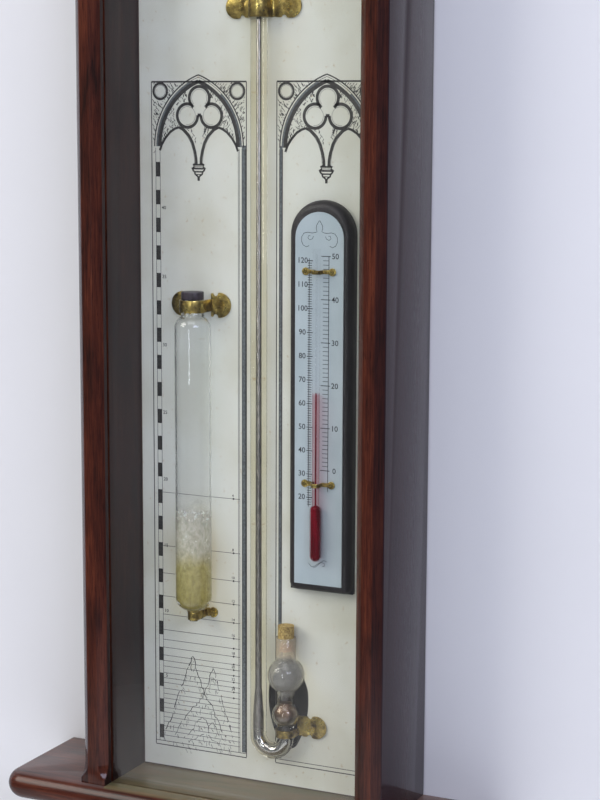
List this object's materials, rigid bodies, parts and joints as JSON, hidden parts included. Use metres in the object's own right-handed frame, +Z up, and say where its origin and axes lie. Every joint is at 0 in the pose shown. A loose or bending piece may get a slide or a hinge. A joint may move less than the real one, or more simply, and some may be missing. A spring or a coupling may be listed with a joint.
{
  "type": "fitzroy barometer",
  "caption": "Wall case with siphon barometer tube, storm glass, thermometer, printed charts, sliding front glass and knob-set pointers.",
  "frame": {"origin": "centre of the hole in the hanging plate, on the wall plane", "axes": "+Z up, -Y out of the wall towards the viewer, +X to the viewer's right"},
  "size_m": [0.312, 0.078, 1.055],
  "materials": {
    "mahogany": "French-polished",
    "mahogany_top": "French-polished",
    "back_wood": "sawn and sanded",
    "clear_glass": "drawn sheet",
    "tube_glass": "drawn and blown",
    "printed_paper": "printed",
    "black_cup": "moulded",
    "quicksilver": "liquid metal",
    "cork": "cut cork",
    "brass_sheet": "stamped and lacquered",
    "brass_turned": "turned and lacquered",
    "steel_rod": "drawn",
    "yellow_liquid": "liquid",
    "white_crystals": "loose crystals",
    "dark_wax": "poured",
    "black_wood": "ebonised",
    "scale_plate": "printed enamel",
    "red_spirit": "dyed spirit",
    "iron_screw": "cut"
  },
  "bodies": {
    "case": {"left_side_board": "mahogany", "right_side_board": "mahogany", "back_board": "back_wood", "base_shelf": "mahogany", "top_board": "mahogany_top", "pediment": "mahogany_top", "lower_chart": "printed_paper", "upper_chart": "printed_paper", "cistern_well": "black_cup", "barometer_tube": "tube_glass", "mercury": "quicksilver", "upper_tube_clip": "brass_sheet", "middle_tube_clip": "brass_sheet", "cistern_clip": "brass_sheet", "tube_clip_screws": "brass_turned", "storm_glass": "tube_glass", "storm_glass_liquid": "yellow_liquid", "storm_glass_crystals": "white_crystals", "storm_glass_cap": "dark_wax", "storm_glass_upper_clip": "brass_sheet", "storm_glass_lower_clip": "brass_sheet", "storm_clip_screws": "brass_turned", "thermometer_board": "black_wood", "thermometer_plate": "scale_plate", "thermometer_tube": "tube_glass", "thermometer_spirit": "red_spirit", "thermometer_upper_clip": "brass_sheet", "thermometer_lower_clip": "brass_sheet", "thermometer_pins": "brass_turned", "thermometer_board_screws": "iron_screw", "left_bush": "brass_turned", "right_bush": "brass_turned", "left_bearing_bracket": "brass_sheet", "right_bearing_bracket": "brass_sheet", "left_upper_guide": "brass_sheet", "left_lower_guide": "brass_sheet", "right_upper_guide": "brass_sheet", "right_lower_guide": "brass_sheet", "guide_screws": "brass_turned", "hanging_plate": "brass_sheet", "hanging_plate_screws": "brass_turned", "shelf_screws": "iron_screw", "top_board_screws": "iron_screw"},
    "glass": {"front_glass": "clear_glass"},
    "stopper": {"cistern_stopper": "cork"},
    "left_drive": {"left_pinion": "brass_turned", "left_shaft": "steel_rod", "left_knob": "brass_turned"},
    "right_drive": {"right_pinion": "brass_turned", "right_shaft": "steel_rod", "right_knob": "brass_turned"},
    "left_slide": {"left_rack": "brass_sheet", "left_pointer": "brass_sheet"},
    "right_slide": {"right_rack": "brass_sheet", "right_pointer": "brass_sheet"}
  },
  "joints": [
    {"name": "left_pointer_slide", "type": "slide", "parent": "case", "child": "left_slide", "axis": [0, 0, 1], "range_m": [-0.0625, 0.038]},
    {"name": "right_pointer_slide", "type": "slide", "parent": "case", "child": "right_slide", "axis": [0, 0, 1], "range_m": [-0.0625, 0.038]},
    {"name": "left_knob_turn", "type": "hinge", "parent": "case", "child": "left_drive", "pos_m": [-0.1, -0.0324, -0.336], "axis": [1, 0, 0], "range_deg": [-600, 366]},
    {"name": "right_knob_turn", "type": "hinge", "parent": "case", "child": "right_drive", "pos_m": [0.1, -0.0324, -0.336], "axis": [1, 0, 0], "range_deg": [-600, 366]},
    {"name": "glass_slide", "type": "slide", "parent": "case", "child": "glass", "axis": [0, 0, 1], "range_m": [0, 0.94]},
    {"name": "stopper_pull", "type": "slide", "parent": "case", "child": "stopper", "axis": [0, 0, 1], "range_m": [0, 0.02]}
  ],
  "couplings": [
    {"joint": "left_knob_turn", "follows": "left_pointer_slide", "rad_per_m": 166.67},
    {"joint": "right_knob_turn", "follows": "right_pointer_slide", "rad_per_m": 166.67}
  ]
}
